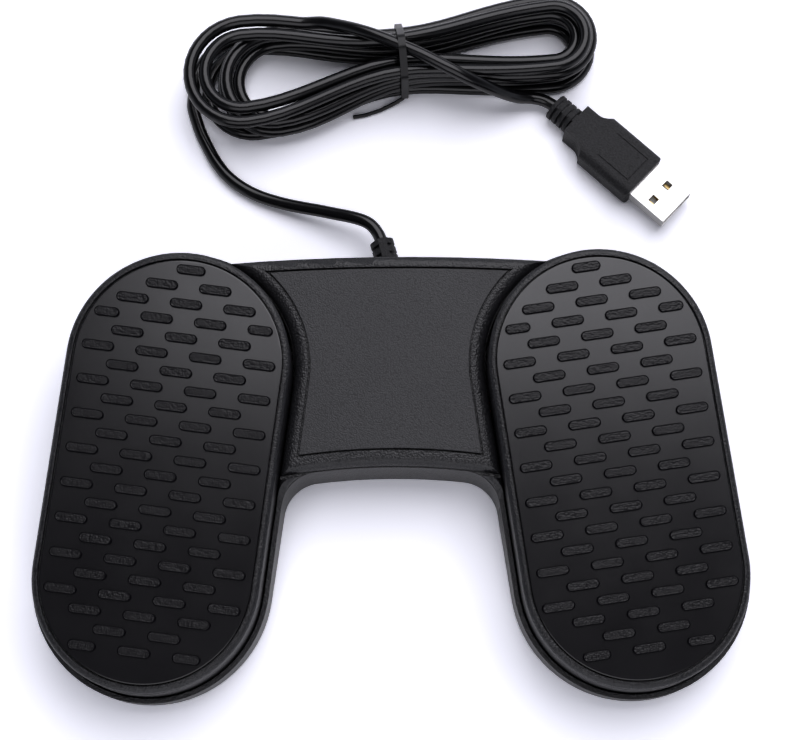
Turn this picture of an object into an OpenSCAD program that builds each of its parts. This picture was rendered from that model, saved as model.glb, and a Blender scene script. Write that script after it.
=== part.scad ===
// Twin foot pedal switch: two splayed sprung pedals on a U-shaped base, with a hanked cord and its plug.
// Millimetres, +Z up, +Y to the rear where the cord leaves, origin under the middle of the base.

/* [Layout] */
// Distance between the front cap centres of the two pods
front_spacing = 123.5; // [118:0.5:140]
// Distance between the front and rear cap centres of a pod
pod_pitch = 55; // [50:0.5:70]
// Angle by which each pod leans towards the other at the rear
splay = 8; // [6:0.5:10]
// Slope of the pedals, rising to the rear
tilt = 7; // [5:0.5:8]

/* [Pedal] */
// Width of a pedal
pedal_w = 57.8; // [56:0.2:60]
// Height of the pedal top over the front cap centre
pedal_height = 24; // [23:0.5:28]
// Wall of the pedal skirt
pedal_wall = 2; // [1.6:0.1:2.6]
// Thickness of the pedal top under the pad
pedal_top = 2.2; // [1.6:0.1:2.8]
// Radius of the rolled pedal rim
rim_roll = 1.5; // [1:0.1:1.5]
// Depth of the skirt below the pedal top
skirt_depth = 13; // [12.5:0.5:14]
// How far a pedal turns when it is pressed fully, in degrees
press_angle = 3.5; // [2:0.1:3.5]

/* [Pad] */
// Width of the textured rim round the pad
rim_w = 1.6; // [1.5:0.05:2.2]
// Groove between the rim and the pad
pad_groove = 0.4; // [0.2:0.05:0.5]
// Depth of the pocket that holds the pad
pad_recess = 1.4; // [1.2:0.1:2]
// How far the pad top lies under the rim
pad_sink = 0.15; // [0:0.05:0.4]
// Length of a grip bar
bar_l = 8.5; // [6:0.1:9.5]
// Width of a grip bar
bar_w = 2.6; // [2:0.1:3.2]
// Height of a grip bar above the pad
bar_h = 0.7; // [0.3:0.05:1.2]
// Half of the sideways pitch of the bars
bar_step_x = 6.95; // [6.5:0.05:7.5]
// Pitch of the rows of bars
bar_step_y = 4.45; // [4:0.05:5]
// Number of rows of bars
bar_rows = 24; // [10:1:24]
// Margin kept clear at the pad edge
bar_margin = 1.05; // [0.8:0.05:3]

/* [Base] */
// Wall of the base round a pedal
base_wall = 1.2; // [1:0.1:1.8]
// Height of the pedal top above the lip of the base
lip_drop = 10; // [9.5:0.1:10.5]
// Thickness of the bottom plate
plate_t = 2; // [1.6:0.1:3]
// How far the bottom plate is set in from the base wall
plate_inset = 0.4; // [0.2:0.1:0.8]
// Height of the rubber feet below the plate
foot_h = 1.5; // [1:0.1:2]
// Diameter of a rubber foot
foot_d = 12; // [8:0.5:14]

/* [Bridge] */
// Height of the pedal top above the bridge top
bridge_drop = 6; // [5.5:0.1:6.5]
// Wall and roof thickness of the bridge
bridge_wall = 2.2; // [1.8:0.1:2.6]
// Distance from the rear cap centres to the front wall of the bridge
bridge_front = 26.1; // [25:0.1:28]
// Distance from the rear cap centres to the rear wall of the bridge
bridge_rear = 28.6; // [27:0.1:29]
// Radius of the arched front edge
front_arch_r = 170; // [150:5:300]
// Radius of the curved rear edge
rear_arch_r = 580; // [400:10:900]
// Radius of the corners of the opening between the pods
notch_r = 10; // [8:0.5:11]
// Radius of the rolled border on the pedal side
border_roll = 3; // [2:0.1:3.2]
// Radius of the rolled border on the front and rear edges
edge_roll = 2.4; // [1.5:0.1:2.6]

/* [Bridge panel] */
// Distance from the pod wall to the side of the panel
panel_side = 2.4; // [2:0.1:3]
// Distance from the rear edge of the bridge to the panel
panel_rear = 3; // [2.5:0.1:4]
// Distance from the front edge of the bridge to the panel
panel_front = 4; // [3.5:0.1:5]
// Thickness of the panel
panel_t = 1.2; // [0.8:0.1:1.6]
// Groove round the panel
panel_groove = 0.5; // [0.2:0.05:0.6]

/* [Hinge] */
// Distance of the hinge axis in front of the front cap centre
hinge_back = 12; // [10:0.5:14]
// Height of the hinge axis
hinge_z = 8.5; // [8:0.1:9]
// Diameter of the hinge pin
pin_d = 4; // [3:0.1:4.4]
// Wall of plastic round the pin
knuckle_wall = 2; // [1.6:0.1:2.2]
// Width of a pedal knuckle
knuckle_w = 5; // [3:0.5:6]
// Distance of a pedal knuckle from the middle of the pedal
knuckle_x = 14; // [10:0.5:14.5]
// Width of an ear on the plate
ear_w = 3.5; // [2.5:0.5:4]

/* [Switch] */
// Distance of the switch button behind the front cap centre
switch_y = 12; // [11:0.5:14]
// Length of the switch body
switch_l = 20; // [18:0.5:20]
// Width of the switch body
switch_w = 6.4; // [6:0.1:7]
// Height of the switch body
switch_h = 10; // [9:0.5:10]
// Height of the switch body above the plate
switch_lift = 3.5; // [3:0.1:3.8]
// Diameter of the switch button
button_d = 2.5; // [2:0.1:3]
// Height of the button above the switch body at rest
button_h = 1.8; // [1.7:0.1:2]
// Distance between the switch fixing holes
switch_hole_pitch = 9.5; // [9:0.1:10.3]

/* [Spring] */
// Distance of the return spring behind the front cap centre
spring_y = 36; // [34:0.5:40]
// Outer diameter of the return spring
spring_d = 12; // [10:0.5:14]
// Wire diameter of the return spring
spring_wire = 1.2; // [0.8:0.1:1.4]
// Height of the return spring at rest
spring_h = 18.5; // [17:0.1:19]
// Turns of the return spring
spring_turns = 6; // [4:1:7]

/* [Stops] */
// Distance of the stops behind the front cap centre
stop_y = 59; // [56:0.5:60]
// Distance of a bumper from the middle of the pedal
bumper_x = 14; // [12:0.5:15]
// Diameter of a rubber bumper
bumper_d = 8; // [6:0.5:9]
// Height of a rubber bumper above the plate
bumper_h = 6; // [4:0.5:6]
// Width of the catch that stops a rising pedal
catch_w = 10; // [8:0.5:14]

/* [Electronics] */
// Width of the circuit board
board_w = 34; // [30:0.5:36]
// Length of the circuit board
board_l = 28; // [26:0.5:30]
// Thickness of the circuit board
board_t = 1.6; // [1:0.1:2]
// Height of the board above the plate
board_lift = 4; // [3:0.5:6]
// Edge length of the controller chip
chip_w = 9; // [6:0.5:10]

/* [Fasteners] */
// Shank diameter of the screws
screw_d = 2.4; // [2:0.1:2.6]
// Head diameter of the screws
screw_head_d = 4.6; // [4:0.1:4.8]
// Head height of the screws
screw_head_h = 1; // [0.8:0.1:1.2]
// Diameter of a screw boss
boss_d = 6; // [5.5:0.1:6.5]

/* [Cord] */
// Diameter of the cord
cord_d = 3.5; // [3:0.1:3.5]
// Length of the strain relief behind the bridge
relief_l = 11.5; // [11:0.5:12]
// Diameter of the strain relief at the bridge
relief_d = 7; // [6:0.1:8]
// Ribs on the strain relief
relief_ribs = 4; // [3:1:5]
// Height of the cord where it leaves the bridge
cord_exit_z = 8; // [7:0.5:12]
// Width of the tie round the hank
tie_w = 2; // [1.5:0.1:4]
// Thickness of the tie
tie_t = 0.8; // [0.5:0.1:1]

/* [Plug] */
// Width of the plug grip
grip_w = 15.5; // [14:0.1:17]
// Thickness of the plug grip
grip_t = 8.4; // [7.5:0.1:9]
// Length of the plug grip
grip_l = 25.5; // [24:0.5:28]
// Length of the ribbed tail of the plug
plug_tail_l = 7.5; // [6:0.5:9]
// Width of the metal plug shell
shell_w = 12; // [11.9:0.1:12.1]
// Thickness of the metal plug shell
shell_h = 4.5; // [4.4:0.1:4.6]
// Length of the shell outside the grip
shell_l = 12.2; // [11.5:0.1:13]
// Sheet thickness of the shell
shell_t = 0.3; // [0.2:0.05:0.4]

/* [Clearances] */
// Gap between a pedal skirt and the base wall
skirt_gap = 0.5; // [0.4:0.05:0.8]
// Extra gap behind a pedal for its swing
rear_gap = 0.9; // [0.8:0.05:1.5]
// Gap between parts that nearly touch
near_gap = 0.3; // [0.25:0.05:0.4]
// Radial clearance of a turning or sliding fit
run_fit = 0.05; // [0.02:0.01:0.08]
// Clearance of a screw or pin in its hole
hole_fit = 0.05; // [0.02:0.01:0.1]

/* [Hidden] */
// Smoothness of the curves
$fn = 72;

// Pods: a pod's own frame has its origin under the front cap, x outwards and y to the rear
pod_x = front_spacing / 2;
pod_y = -pod_pitch * cos(splay) / 2;
rear_c = [pod_x - pod_pitch * sin(splay), pod_y + pod_pitch * cos(splay)];
pedal_r = pedal_w / 2;
pedal_pitch = pod_pitch - rear_gap;
top_pitch = pedal_pitch / cos(tilt);
base_in_r = pedal_r + skirt_gap;
base_out_r = base_in_r + base_wall;
plate_top = foot_h + plate_t;
lip_height = pedal_height - lip_drop;

// Pedal and pad
pocket_r = pedal_r - rim_w;
pad_r = pocket_r - pad_groove;
cavity_r = pedal_r - pedal_wall;
rim_r = pedal_r + 0.08;
rim_shift = pedal_r * (1 / cos(tilt) - 1);
roof_drop = (pad_recess + pedal_top) / cos(tilt);
root_drop = (pad_recess + pedal_top / 2) / cos(tilt);

// Hinge, with the way a pedal moves down at a distance behind the front cap
pin_r = pin_d / 2;
knuckle_r = pin_r + knuckle_wall;
ear_x = knuckle_x + knuckle_w / 2 + near_gap;
pin_l = 2 * (ear_x + ear_w);
function pod_point(p) =
    [pod_x + p.x * cos(splay) - p.y * sin(splay), pod_y + p.x * sin(splay) + p.y * cos(splay), p.z];
function fall(y) = (y + hinge_back) * sin(press_angle);
function underside(y) = pedal_height + tan(tilt) * y - roof_drop;

// Switch, spring and stops
switch_bottom = plate_top + switch_lift;
switch_top = switch_bottom + switch_h;
switch_hole_z = switch_bottom + 3;
button_r = button_d / 2;
button_depth = 7;
button_l = 4.8;
spring_top = plate_top + spring_h;
nub_r = spring_d / 2 - spring_wire - 1.3;
bumper_top = plate_top + bumper_h;
stop_r = 3;
stop_bottom = bumper_top + fall(stop_y + stop_r) + near_gap;
catch_y = stop_y + 1;
catch_t = 3;
catch_top = underside(catch_y) - fall(catch_y) - 2 * near_gap;
catch_foot = catch_top - catch_t - near_gap;

// Screws from below, as places in a pod and places under the bridge
screw_r = screw_d / 2;
head_r = screw_head_d / 2;
boss_r = boss_d / 2;
boss_h = 5.5;
screw_ring = cavity_r - boss_r - 1.1;
screw_len = 4.5;
head_sink = 0.2;
pod_screws = [
    [0, -screw_ring],
    [screw_ring, 20],
    [-screw_ring, 20],
    [screw_ring * cos(50), pod_pitch + screw_ring * sin(50)],
    [-screw_ring * cos(50), pod_pitch + screw_ring * sin(50)]
];
foot_sink = 0.5;
pod_feet = [[0, -hinge_back], [0, pod_pitch + 11]];

// Bridge outline
front_y = rear_c.y - bridge_front;
rear_y = rear_c.y + bridge_rear;
arch_c = [0, front_y - front_arch_r];
along = [sin(splay), -cos(splay)];
inward = [-cos(splay), -sin(splay)];
corner_line = rear_c + inward * (base_out_r + notch_r) - arch_c;
corner_run = -corner_line * along
    - sqrt(pow(corner_line * along, 2) - (corner_line * corner_line - pow(front_arch_r - notch_r, 2)));
corner_c = arch_c + corner_line + along * corner_run;
corner_dir = (corner_c - arch_c) / norm(corner_c - arch_c);
ridge_y = front_y - 10;
bridge_screws = [[-17, rear_y - 9], [17, rear_y - 9], [-14, front_y + 6], [14, front_y + 6]];
bridge_feet = [[-10, (front_y + rear_y) / 2], [10, (front_y + rear_y) / 2]];
bridge_top_z = pedal_height - bridge_drop;
roof_n = panel_t + bridge_wall;

// Circuit board and wires
board_y = (front_y + rear_y) / 2 + 0.5;
board_z = plate_top + board_lift;
board_top = board_z + board_t;
post_x = board_w / 2 - 3;
post_y = board_l / 2 - 3;
post_r = 2.5;
connector = [5, 7, 5];
connector_x = board_w / 2 - 4;
connector_y = board_y - 3;
wire_r = 0.6;
wire_hole_y = 52;
wire_z = plate_top + 1.5;
cord_r = cord_d / 2;
cord_x = 0.8;
relief_neck = relief_d / 2 - 0.9;
flange_t = 1.5;
flange_y = rear_y - bridge_wall - hole_fit;
cable_end = board_y + board_l / 2 + 2.5;
clamp_y = (flange_y - flange_t + cable_end) / 2;
clamp_l = 3.6;
clamp_x = 6;

// Strain relief, leaning to the left behind the bridge; cord points are measured from the rear wall
relief_lean = 15;
relief_dir = [-sin(relief_lean), cos(relief_lean), 0];
relief_end = [cord_x, rear_y, cord_exit_z] + relief_l * relief_dir;
function behind(p) = [p.x, rear_y + p.y, p.z];
function unit(v) = v / norm(v);

// Cord hank: half length, radii of the two ends, half waist, steps between loops and layers
hank_l = 58.4;
hank_rl = 17.3;
hank_rr = 13.4;
hank_waist = 9.2;
hank_step = 4.2;
hank_layer = 3.95;
hank_lift = 1.2;
hank_turn = 5.5;
hank_c = [1.6, rear_y + 64];
// How much longer each layer is, and how far its two ends are moved
hank_longer = [-0.5, -4, -3.5, 0.4];
hank_moved = [[0.5, 1.5], [4, 2], [3.5, 2], [-0.4, 1.4]];
hank_rings = 24;
hank_steps = 148;
hank_end = hank_steps / hank_rings;
function smooth(x) = let (k = min(1, max(0, x))) k * k * (3 - 2 * k);
function hank_in(t) = hank_step * (t < 1.75 ? t : t < 3.25 ? 3.5 - t : t < 4.75 ? t - 3 : 6.5 - t);
function hank_level(t) = smooth(4 * t - 6.5) + smooth(4 * t - 12.5) + smooth(4 * t - 18.5);
function by_level(list, v) = let (k = min(2, floor(v))) list[k] + (list[k + 1] - list[k]) * (v - k);
function hank_run(s, o) =
    let (lobe = hank_rl + (hank_rr - hank_rl) * smooth(s))
    lobe - (lobe - hank_waist) * pow(sin(180 * s), 2) - o;
function hank_flat(t, half) =
    let (u = t - floor(t), o = hank_in(t), xl = hank_rl - half, xr = half - hank_rr)
    u < 0.125 || u >= 0.875 ? let (a = 180 - 720 * (u < 0.5 ? u : u - 1))
        [xl + (hank_rl - o) * cos(a), (hank_rl - o) * sin(a)] :
    u >= 0.375 && u < 0.625 ? let (a = 90 - 720 * (u - 0.375))
        [xr + (hank_rr - o) * cos(a), (hank_rr - o) * sin(a)] :
    u < 0.5 ? let (s = 4 * u - 0.5) [xl + (xr - xl) * s, hank_run(s, o)] :
    let (s = 3.5 - 4 * u) [xl + (xr - xl) * s, -hank_run(s, o)];
function hank_at(t) =
    let (
        level = hank_level(t),
        moved = by_level(hank_moved, level),
        p = hank_flat(t, hank_l + by_level(hank_longer, level)),
        x = p.x + moved.x,
        y = p.y + moved.y * sin(1.5 * x)
    )
    [hank_c.x + x * cos(hank_turn) - y * sin(hank_turn),
     hank_c.y + x * sin(hank_turn) + y * cos(hank_turn),
     cord_r + 0.05 + hank_layer * level + hank_lift * exp(-x * x / 196)];
hank_first = hank_at(0);
hank_last = hank_at(hank_end);
hank_in_dir = unit(hank_at(0.001) - hank_first);
hank_out_dir = unit(hank_last - hank_at(hank_end - 0.001));
hank_path = concat(
    [hank_first - cord_d * hank_in_dir],
    [for (i = [0 : hank_steps]) hank_at(i / hank_rings)],
    [hank_last + cord_d * hank_out_dir]
);
hank_probe = [for (i = [0 : 2 * hank_steps]) hank_at(i / hank_rings / 2)];
hank_gap = min([for (i = [0 : 2 * hank_steps], j = [i + 12 : 1 : 2 * hank_steps])
    norm(hank_probe[i] - hank_probe[j])]) - cord_d;
echo(hank_gap = hank_gap);

// Cord lead from the strain relief to the hank
lead_points = [
    [-3.2, 13.4, 8], [-4.9, 15.6, 7.9], [-7.2, 17.1, 7.6], [-10.8, 18.5, 6.8], [-15, 19.8, 5.7],
    [-20, 21.3, 4.6], [-25.6, 22.8, 3.5], [-31, 24.5, 2.6], [-36.4, 26.6, 2], [-41.2, 29.3, 1.8],
    [-45.4, 32.8, 1.8], [-48.6, 37, 1.8], [-51, 41.4, 1.8], [-52.9, 45.4, 1.8], [-54.3, 49.4, 1.8]
];
lead_path = concat([relief_end], [for (p = lead_points) behind(p)], [hank_first - cord_d * hank_in_dir]);

// Cord tail from the hank over its waist, under the tie and down to the plug
plug_c = [47.2, rear_y + 51.9];
plug_turn = -43.7;
plug_z = grip_t / 2;
plug_dir = [cos(plug_turn), sin(plug_turn), 0];
over_waist = [4, 64, 19.1];
tail_points = [
    [-18.4, 73.3, 14.7], [-13.7, 71.7, 16.2], [-9, 69.7, 17.9], [-4.8, 67.9, 18.8], [-0.6, 66.1, 19.1],
    over_waist, [8.9, 61.7, 19.1], [13.1, 59.5, 18.8], [17.8, 57.2, 18], [22.6, 55.4, 16],
    [27.6, 54.3, 13], [32.4, 53.8, 9.4], [36.4, 53.9, 6.4], [40.4, 54.4, 4.7], [44.1, 53.8, plug_z]
];
tail_path = concat(
    [hank_last + cord_d * hank_out_dir],
    [for (p = tail_points) behind(p)],
    [[plug_c.x, plug_c.y, plug_z]]
);

// Tie round the waist, with the cords that it holds
tie_x = 2.4;
function hank_across(t, x) =
    let (
        level = hank_level(t),
        run = 2 * (hank_l + by_level(hank_longer, level)) - hank_rl - hank_rr,
        off = x - (hank_rl - hank_rr) / 2 - by_level(hank_moved, level).x
    )
    hank_at(t + (t - floor(t) < 0.5 ? 1 : -1) * off / run / 4);
tie_marks = concat(
    [for (i = [0 : 11], s = [-1, 1]) hank_across(0.25 + i / 2, tie_x + s * tie_w / 2)],
    [for (s = [-1, 1]) behind(over_waist) + [0, 0.3 * s * tie_w, 0]]
);
tie_tail = [[4.4, 55.75, 2.4], [2, 54.6, 1.4], [-2.4, 52.6, 0.9], [-6.6, 51.2, 0.8], [-10, 50.6, 0.9]];

// Plug sizes
neck_w = 9.8;
shoulder_x = plug_tail_l + 8;
front_x = plug_tail_l + grip_l;
shell_in = 6;
tongue_t = 1.85;

// Names of the separate pieces
// Piece that is drawn

// Frames
module right_pod() {
    translate([pod_x, pod_y, 0])
        rotate([0, 0, splay])
            children();
}
module left_pod() {
    mirror([1, 0, 0])
        right_pod()
            children();
}
module both_pods() {
    right_pod()
        children();
    left_pod()
        children();
}
module tilted(z) {
    translate([0, 0, z])
        rotate([tilt, 0, 0])
            children();
}
module below(z) {
    tilted(z)
        translate([-100, -100, -100])
            cube([200, 260, 100]);
}
module bridge_tilt(n) {
    translate([0, pod_y, bridge_top_z])
        rotate([tilt, 0, 0])
            translate([0, 0, n])
                children();
}
module bridge_below(n) {
    bridge_tilt(n)
        translate([-100, -60, -100])
            cube([200, 220, 100]);
}
module plug_frame() {
    translate([plug_c.x, plug_c.y, plug_z])
        rotate([0, 0, plug_turn])
            children();
}

// Plain shapes
module stadium(r, pitch) {
    circle(r);
    translate([0, pitch])
        circle(r);
    translate([-r, 0])
        square([2 * r, pitch]);
}
module tube(path, r, sides, first_dir, last_dir) {
    last = len(path) - 1;
    dirs = [for (i = [0 : last])
        i == 0 ? first_dir : i == last ? last_dir :
        unit(unit(path[i + 1] - path[i]) + unit(path[i] - path[i - 1]))];
    points = [for (i = [0 : last])
        let (across = unit(cross(dirs[i], [0, 0, 1])), up = cross(across, dirs[i]))
        for (k = [0 : sides - 1])
            path[i] + r * (sin(360 * k / sides) * across + cos(360 * k / sides) * up)];
    walls = [for (i = [0 : last - 1], k = [0 : sides - 1])
        let (a = i * sides + k, b = i * sides + (k + 1) % sides)
        each [[a, a + sides, b], [b, a + sides, b + sides]]];
    ends = [[for (k = [0 : sides - 1]) k], [for (k = [sides - 1 : -1 : 0]) last * sides + k]];
    polyhedron(points, concat(walls, ends));
}
module screw(length) {
    cylinder(h = length, r = screw_r, $fn = 24);
    difference() {
        translate([0, 0, -screw_head_h])
            cylinder(h = screw_head_h, r = head_r, $fn = 36);
        translate([-head_r / 2, -0.3, -screw_head_h - 1])
            cube([head_r, 0.6, 1.4]);
        translate([-0.3, -head_r / 2, -screw_head_h - 1])
            cube([0.6, head_r, 1.4]);
    }
}

// Pedal
module rim_profile() {
    difference() {
        translate([0, -40])
            square([rim_r + 5, 40]);
        translate([rim_r - rim_roll, -rim_roll])
            difference() {
                square([rim_roll + 6, rim_roll + 1]);
                circle(rim_roll);
            }
    }
}
module rim_slab() {
    translate([0, -rim_shift, 0])
        rotate_extrude()
            rim_profile();
    translate([0, top_pitch + rim_shift, 0])
        rotate_extrude()
            rim_profile();
    translate([0, top_pitch + rim_shift, 0])
        rotate([90, 0, 0])
            linear_extrude(top_pitch + 2 * rim_shift) {
                rim_profile();
                mirror([1, 0])
                    rim_profile();
            }
}
module knuckle() {
    translate([-knuckle_w / 2, -hinge_back, hinge_z])
        rotate([90, 0, 90])
            linear_extrude(knuckle_w)
                difference() {
                    union() {
                        circle(knuckle_r);
                        translate([-knuckle_r, 0])
                            square([2 * knuckle_r, 20]);
                    }
                    circle(pin_r + run_fit);
                }
}
module pedal_inside() {
    for (s = [-1, 1])
        translate([s * knuckle_x, 0, 0])
            knuckle();
    translate([-4, switch_y - 3, switch_top + button_h + near_gap])
        cube([8, 6, 20]);
    translate([0, spring_y, spring_top])
        cylinder(h = 20, r = spring_d / 2 + 2);
    translate([0, spring_y, spring_top - 3])
        cylinder(h = 20, r = nub_r);
    for (s = [-1, 1])
        translate([s * bumper_x, stop_y, stop_bottom])
            cylinder(h = 30, r = stop_r);
    translate([-catch_w / 2, catch_y - 4.2, catch_foot - 2.2])
        cube([catch_w, 2.5, 30]);
    translate([-catch_w / 2, catch_y - 4.2, catch_foot - 2.2])
        cube([catch_w, 7.3, 2.2]);
}
module pedal() {
    difference() {
        intersection() {
            linear_extrude(60)
                stadium(pedal_r, pedal_pitch);
            tilted(pedal_height)
                rim_slab();
        }
        intersection() {
            translate([0, 0, -1])
                linear_extrude(60)
                    stadium(cavity_r, pedal_pitch);
            below(pedal_height - roof_drop);
        }
        tilted(pedal_height)
            translate([0, 0, -pad_recess])
                linear_extrude(10)
                    stadium(pocket_r, top_pitch);
        below(pedal_height - skirt_depth);
    }
    intersection() {
        pedal_inside();
        below(pedal_height - root_drop);
    }
}

// Pad with its lattice of grip bars
module bar(from, to, y) {
    for (x = [from, to])
        translate([x, y])
            circle(bar_w / 2, $fn = 24);
    translate([from, y - bar_w / 2])
        square([to - from, bar_w]);
}
module bars() {
    half = (bar_l - bar_w) / 2;
    reach = pad_r - bar_margin - bar_w / 2;
    for (i = [0 : bar_rows - 1]) {
        y = top_pitch / 2 + 0.5 + (i - (bar_rows - 1) / 2) * bar_step_y;
        past = max(0, -y, y - top_pitch);
        limit = past < reach ? sqrt(reach * reach - past * past) : 0;
        for (k = [i % 2 == 0 ? -3 : -4 : 2 : 4]) {
            from = max(k * bar_step_x - half, -limit);
            to = min(k * bar_step_x + half, limit);
            if (to - from > 1.2 * half)
                bar(from, to, y);
        }
    }
}
module pad() {
    tilted(pedal_height)
        translate([0, 0, -pad_recess]) {
            linear_extrude(pad_recess - pad_sink)
                stadium(pad_r, top_pitch);
            linear_extrude(pad_recess - pad_sink + bar_h)
                bars();
        }
}

// Pieces inside a pod
module hinge_pin() {
    translate([-pin_l / 2, -hinge_back, hinge_z])
        rotate([0, 90, 0])
            cylinder(h = pin_l, r = pin_r);
}
module return_spring() {
    mid = spring_d / 2 - spring_wire / 2;
    closed = spring_wire + 0.3;
    rise = (spring_h - spring_wire - 2 * closed) / (spring_turns - 2);
    path = [for (i = [0 : 10 * spring_turns])
        let (n = i / 10, z = closed * min(n, 1) + rise * min(max(n - 1, 0), spring_turns - 2)
            + closed * max(n - spring_turns + 1, 0))
        [mid * cos(360 * n), spring_y + mid * sin(360 * n), plate_top + spring_wire / 2 + z]];
    tube(path, spring_wire / 2, 6, [0, 1, 0], [0, 1, 0]);
}
module bumpers() {
    for (s = [-1, 1])
        translate([s * bumper_x, stop_y, plate_top]) {
            cylinder(h = bumper_h, r = bumper_d / 2);
            translate([0, 0, 0.8 - plate_t])
                cylinder(h = plate_t, r = 1.5);
        }
}
module switch_body() {
    difference() {
        translate([-switch_w / 2, switch_y - switch_l / 2, switch_bottom])
            cube([switch_w, switch_l, switch_h]);
        translate([0, switch_y, switch_top - button_depth])
            cylinder(h = button_depth + 1, r = button_r + run_fit);
        for (s = [-1, 1])
            translate([-switch_w, switch_y + s * switch_hole_pitch / 2, switch_hole_z])
                rotate([0, 90, 0])
                    cylinder(h = 2 * switch_w, r = screw_r + hole_fit);
    }
}
module switch_button() {
    translate([0, switch_y, switch_top - button_l]) {
        cylinder(h = button_l + button_h - 0.3, r = button_r);
        cylinder(h = button_l + button_h, r = button_r - 0.3);
    }
}
module terminals() {
    for (y = [-7.5, 0, 7.5])
        translate([-0.25, switch_y + y - 1.4, switch_bottom - 2.6])
            cube([0.5, 2.8, 2.6]);
}
module switch_screw_pair() {
    for (s = [-1, 1])
        translate([-switch_w / 2, switch_y + s * switch_hole_pitch / 2, switch_hole_z])
            rotate([0, 90, 0])
                screw(switch_w + 2.4);
}
module leads() {
    for (s = [-1, 1]) {
        path = [
            pod_point([-0.25, switch_y + 7.5 * s, switch_bottom - 1.3]),
            pod_point([-4 - s, switch_y + 7.5 * s, switch_bottom - 1.3]),
            pod_point([-11 + s, switch_y + 12 + 2 * s, wire_z]),
            pod_point([-11 + s, wire_hole_y - 8 + s, wire_z]),
            pod_point([-18, wire_hole_y + s, wire_z]),
            pod_point([-base_out_r - 1, wire_hole_y + s, wire_z]),
            [board_w / 2 + 3, connector_y - 1 + s, board_z],
            [board_w / 2 + 1, connector_y + s, board_top + 2.5],
            [connector_x + connector.x / 2, connector_y + s, board_top + 2.5]
        ];
        tube(path, wire_r, 6, unit(path[1] - path[0]), [-1, 0, 0]);
    }
}

// Outline of the bridge and of the opening between the pods
module mirrored() {
    children();
    mirror([1, 0, 0])
        children();
}
module pods2d(r) {
    mirrored()
        translate([pod_x, pod_y])
            rotate(splay)
                stadium(r, pod_pitch);
}
module opening2d(grow) {
    touch = corner_c - inward * (notch_r + grow);
    far = touch + 120 * along;
    arch_end = arch_c + (front_arch_r + grow) * corner_dir;
    intersection() {
        translate(arch_c)
            circle(front_arch_r + grow, $fn = 180);
        polygon([arch_c, 2 * corner_c - arch_c, [-2 * corner_c.x + arch_c.x, 2 * corner_c.y - arch_c.y]]);
    }
    mirrored()
        translate(corner_c)
            circle(notch_r + grow);
    mirrored()
        polygon([[0, arch_end.y], arch_end, corner_c, touch, far, [0, far.y]]);
}
module bridge2d(inset) {
    difference() {
        intersection() {
            translate([0, rear_y - rear_arch_r])
                circle(rear_arch_r - inset, $fn = 360);
            translate([-rear_c.x, ridge_y])
                square([2 * rear_c.x, 100]);
        }
        opening2d(inset);
    }
}
module panel2d(g) {
    rear = [rear_c.x, (rear_c.y - pod_y) / cos(tilt)];
    difference() {
        intersection() {
            translate([0, (rear_y - pod_y) / cos(tilt) - rear_arch_r])
                circle(rear_arch_r - panel_rear - g, $fn = 360);
            translate([-rear_c.x, 0])
                square([2 * rear_c.x, 100]);
        }
        mirrored()
            translate(rear)
                rotate(splay)
                    translate([0, -pod_pitch])
                        stadium(base_out_r + panel_side + g, pod_pitch);
        translate([0, (front_y - pod_y) / cos(tilt) - front_arch_r])
            circle(front_arch_r + panel_front + g, $fn = 180);
    }
}

// Rolled edges of the bridge: material outside a radius, and material inside it
module roll_outside(r, roll) {
    difference() {
        translate([r - 1, -roll])
            square([roll + 1, roll + 5]);
        translate([r + roll, -roll])
            circle(roll);
    }
}
module roll_inside(r, roll) {
    difference() {
        translate([r - roll, -roll])
            square([roll + 1, roll + 5]);
        translate([r - roll, -roll])
            circle(roll);
    }
}
module bridge_rolls() {
    flat = 1 / cos(tilt);
    bridge_tilt(0) {
        mirrored()
            translate([rear_c.x, (rear_c.y - pod_y) * flat, 0])
                rotate([0, 0, splay]) {
                    rotate_extrude()
                        roll_outside(base_in_r, border_roll);
                    rotate([90, 0, 0])
                        linear_extrude(pod_pitch)
                            mirror([1, 0])
                                roll_outside(base_in_r, border_roll);
                }
        mirrored()
            translate([corner_c.x, (corner_c.y - pod_y) * flat, 0])
                rotate_extrude()
                    roll_outside(notch_r, edge_roll);
        translate([0, (front_y - pod_y) * flat - front_arch_r, 0])
            rotate([0, 0, 60])
                rotate_extrude(angle = 60, $fn = 180)
                    roll_outside(front_arch_r, edge_roll);
        translate([0, (rear_y - pod_y) * flat - rear_arch_r, 0])
            rotate([0, 0, 80])
                rotate_extrude(angle = 20, $fn = 360)
                    roll_inside(rear_arch_r, edge_roll);
        translate([-100, (ridge_y - pod_y) * flat, bridge_drop - lip_drop - 0.5])
            rotate([33, 0, 0])
                translate([0, -30, 0])
                    cube([200, 50, 30]);
    }
}

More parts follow.
